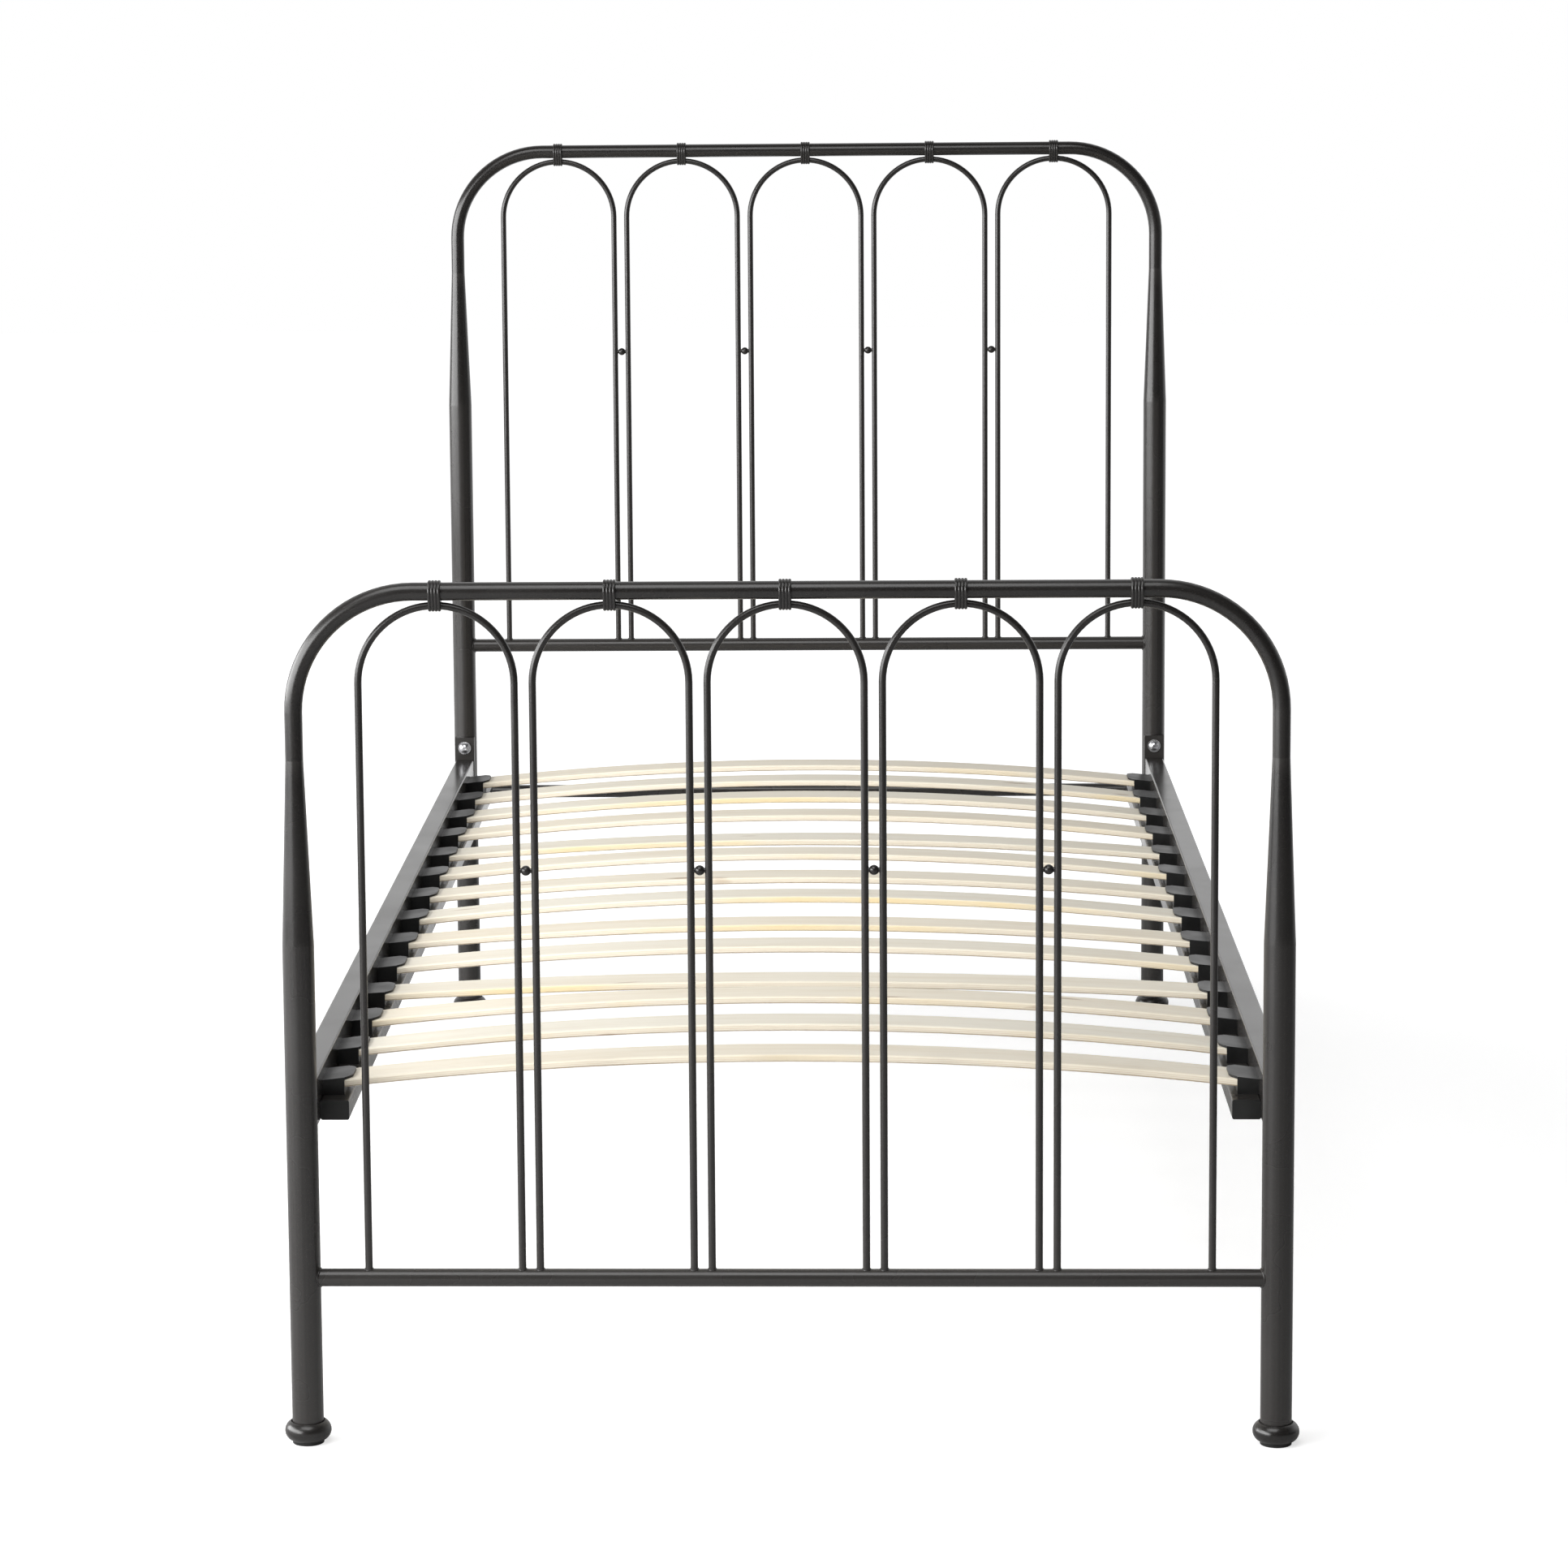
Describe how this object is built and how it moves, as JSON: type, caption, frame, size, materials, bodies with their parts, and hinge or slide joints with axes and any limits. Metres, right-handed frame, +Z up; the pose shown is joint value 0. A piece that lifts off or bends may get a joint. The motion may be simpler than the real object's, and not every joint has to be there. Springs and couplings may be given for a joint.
{
  "type": "bed frame",
  "caption": "Single metal bed frame: arched tube headboard and footboard with inner rod arches, bolt-on side rails and bowed wooden slats in plastic holders.",
  "frame": {"origin": "on the floor, midway between the four legs", "axes": "+Z up, +Y along the bed from the footboard to the headboard, +X across it to the right as seen from the foot end"},
  "size_m": [1.022, 1.997, 1.2383],
  "materials": {
    "frame_metal": "satin textured powder coat, charcoal",
    "black_plastic": "matt moulded plastic",
    "plywood": "satin lacquered birch laminate",
    "zinc": "bright zinc plate"
  },
  "bodies": {
    "root": {"footboard_hoop": "frame_metal", "headboard_hoop": "frame_metal", "footboard_leg_left": "frame_metal", "footboard_leg_right": "frame_metal", "headboard_leg_left": "frame_metal", "headboard_leg_right": "frame_metal", "footboard_bun_foot_left": "frame_metal", "footboard_bun_foot_right": "frame_metal", "headboard_bun_foot_left": "frame_metal", "headboard_bun_foot_right": "frame_metal", "footboard_glide_left": "black_plastic", "footboard_glide_right": "black_plastic", "headboard_glide_left": "black_plastic", "headboard_glide_right": "black_plastic", "footboard_cross_rail": "frame_metal", "headboard_cross_rail": "frame_metal", "headboard_lower_rail": "frame_metal", "footboard_arch_1": "frame_metal", "footboard_arch_2": "frame_metal", "footboard_arch_3": "frame_metal", "footboard_arch_4": "frame_metal", "footboard_arch_5": "frame_metal", "headboard_arch_1": "frame_metal", "headboard_arch_2": "frame_metal", "headboard_arch_3": "frame_metal", "headboard_arch_4": "frame_metal", "headboard_arch_5": "frame_metal", "footboard_collars": "frame_metal", "headboard_collars": "frame_metal", "footboard_balls": "frame_metal", "headboard_balls": "frame_metal", "side_rail_left": "frame_metal", "side_rail_right": "frame_metal", "rail_brackets_left": "frame_metal", "rail_brackets_right": "frame_metal", "slat_ledge_left": "frame_metal", "slat_ledge_right": "frame_metal", "ledge_end_caps": "black_plastic", "bolts": "zinc", "washers": "zinc", "saddle_nuts": "zinc", "slat_01": "plywood", "slat_02": "plywood", "slat_03": "plywood", "slat_04": "plywood", "slat_05": "plywood", "slat_06": "plywood", "slat_07": "plywood", "slat_08": "plywood", "slat_09": "plywood", "slat_10": "plywood", "slat_11": "plywood", "slat_12": "plywood", "slat_13": "plywood", "slat_14": "plywood", "slat_holders_left": "black_plastic", "slat_holders_right": "black_plastic"}
  },
  "joints": []
}
